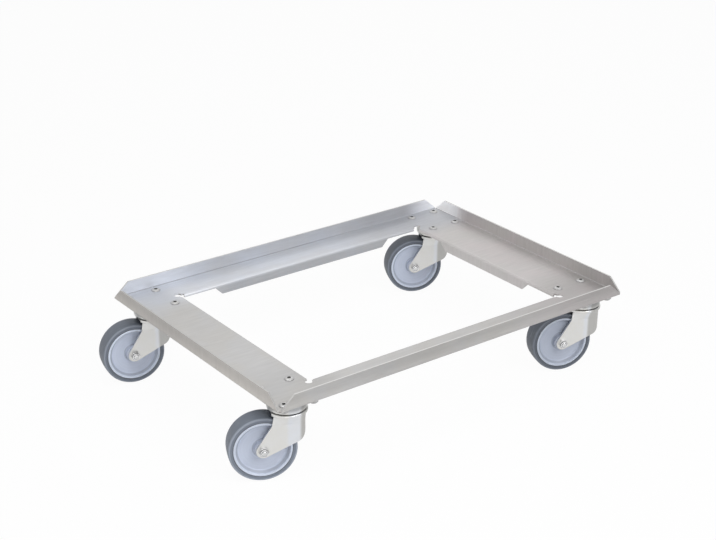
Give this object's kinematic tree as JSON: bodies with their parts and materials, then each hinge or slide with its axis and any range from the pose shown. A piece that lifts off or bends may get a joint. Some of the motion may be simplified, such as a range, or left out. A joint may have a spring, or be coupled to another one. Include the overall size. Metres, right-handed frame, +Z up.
{
  "type": "crate dolly",
  "caption": "Low crate dolly: a ring frame folded from aluminium sheet, with an open middle and low upstands that hold a crate, on swivel casters with rubber-tyred wheels.",
  "frame": {"origin": "on the floor, under the centre of the frame's outer rectangle", "axes": "+X along the frame's long side, +Y along its short side, +Z up"},
  "size_m": [0.7039, 0.4706, 0.1515],
  "materials": {
    "aluminium_sheet": "mill finish with faint rolling lines",
    "zinc_plated_steel": "bright zinc plate, smooth",
    "fastener_steel": "zinc plate, semi-bright",
    "bearing_steel": "polished",
    "rim_plastic": "moulded plastic, satin",
    "tyre_rubber": "smooth rubber, matt",
    "bush_plastic": "plain bearing plastic"
  },
  "bodies": {
    "frame": {"deck_frame": "aluminium_sheet", "deck_screws": "fastener_steel", "deck_nuts": "fastener_steel", "front_left_top_plate": "zinc_plated_steel", "front_left_king_pin": "fastener_steel", "front_left_lower_race": "bearing_steel", "front_right_top_plate": "zinc_plated_steel", "front_right_king_pin": "fastener_steel", "front_right_lower_race": "bearing_steel", "rear_left_top_plate": "zinc_plated_steel", "rear_left_king_pin": "fastener_steel", "rear_left_lower_race": "bearing_steel", "rear_right_top_plate": "zinc_plated_steel", "rear_right_king_pin": "fastener_steel", "rear_right_lower_race": "bearing_steel"},
    "front_left_swivel": {"front_left_fork": "zinc_plated_steel", "front_left_upper_balls": "bearing_steel", "front_left_lower_balls": "bearing_steel", "front_left_axle_bolt": "fastener_steel", "front_left_axle_nut": "fastener_steel", "front_left_axle_sleeve": "fastener_steel"},
    "front_left_wheel": {"front_left_hub_bush": "bush_plastic", "front_left_rim": "rim_plastic", "front_left_tyre": "tyre_rubber"},
    "front_right_swivel": {"front_right_fork": "zinc_plated_steel", "front_right_upper_balls": "bearing_steel", "front_right_lower_balls": "bearing_steel", "front_right_axle_bolt": "fastener_steel", "front_right_axle_nut": "fastener_steel", "front_right_axle_sleeve": "fastener_steel"},
    "front_right_wheel": {"front_right_hub_bush": "bush_plastic", "front_right_rim": "rim_plastic", "front_right_tyre": "tyre_rubber"},
    "rear_left_swivel": {"rear_left_fork": "zinc_plated_steel", "rear_left_upper_balls": "bearing_steel", "rear_left_lower_balls": "bearing_steel", "rear_left_axle_bolt": "fastener_steel", "rear_left_axle_nut": "fastener_steel", "rear_left_axle_sleeve": "fastener_steel"},
    "rear_left_wheel": {"rear_left_hub_bush": "bush_plastic", "rear_left_rim": "rim_plastic", "rear_left_tyre": "tyre_rubber"},
    "rear_right_swivel": {"rear_right_fork": "zinc_plated_steel", "rear_right_upper_balls": "bearing_steel", "rear_right_lower_balls": "bearing_steel", "rear_right_axle_bolt": "fastener_steel", "rear_right_axle_nut": "fastener_steel", "rear_right_axle_sleeve": "fastener_steel"},
    "rear_right_wheel": {"rear_right_hub_bush": "bush_plastic", "rear_right_rim": "rim_plastic", "rear_right_tyre": "tyre_rubber"}
  },
  "joints": [
    {"name": "front_left_swivel_turn", "type": "hinge", "parent": "frame", "child": "front_left_swivel", "pos_m": [-0.2869, -0.18775, 0.1279], "axis": [0, 0, 1], "continuous": true},
    {"name": "front_left_wheel_turn", "type": "hinge", "parent": "front_left_swivel", "child": "front_left_wheel", "pos_m": [-0.3203, -0.17253, 0.05], "axis": [-0.4147, -0.91, 0], "continuous": true},
    {"name": "front_right_swivel_turn", "type": "hinge", "parent": "frame", "child": "front_right_swivel", "pos_m": [0.2869, -0.18775, 0.1279], "axis": [0, 0, 1], "continuous": true},
    {"name": "front_right_wheel_turn", "type": "hinge", "parent": "front_right_swivel", "child": "front_right_wheel", "pos_m": [0.25273, -0.17436, 0.05], "axis": [-0.3649, -0.9311, 0], "continuous": true},
    {"name": "rear_left_swivel_turn", "type": "hinge", "parent": "frame", "child": "rear_left_swivel", "pos_m": [-0.2869, 0.18775, 0.1279], "axis": [0, 0, 1], "continuous": true},
    {"name": "rear_left_wheel_turn", "type": "hinge", "parent": "rear_left_swivel", "child": "rear_left_wheel", "pos_m": [-0.32269, 0.19588, 0.05], "axis": [-0.2215, -0.9751, 0], "continuous": true},
    {"name": "rear_right_swivel_turn", "type": "hinge", "parent": "frame", "child": "rear_right_swivel", "pos_m": [0.2869, 0.18775, 0.1279], "axis": [0, 0, 1], "continuous": true},
    {"name": "rear_right_wheel_turn", "type": "hinge", "parent": "rear_right_swivel", "child": "rear_right_wheel", "pos_m": [0.25367, 0.20332, 0.05], "axis": [-0.4242, -0.9056, 0], "continuous": true}
  ]
}
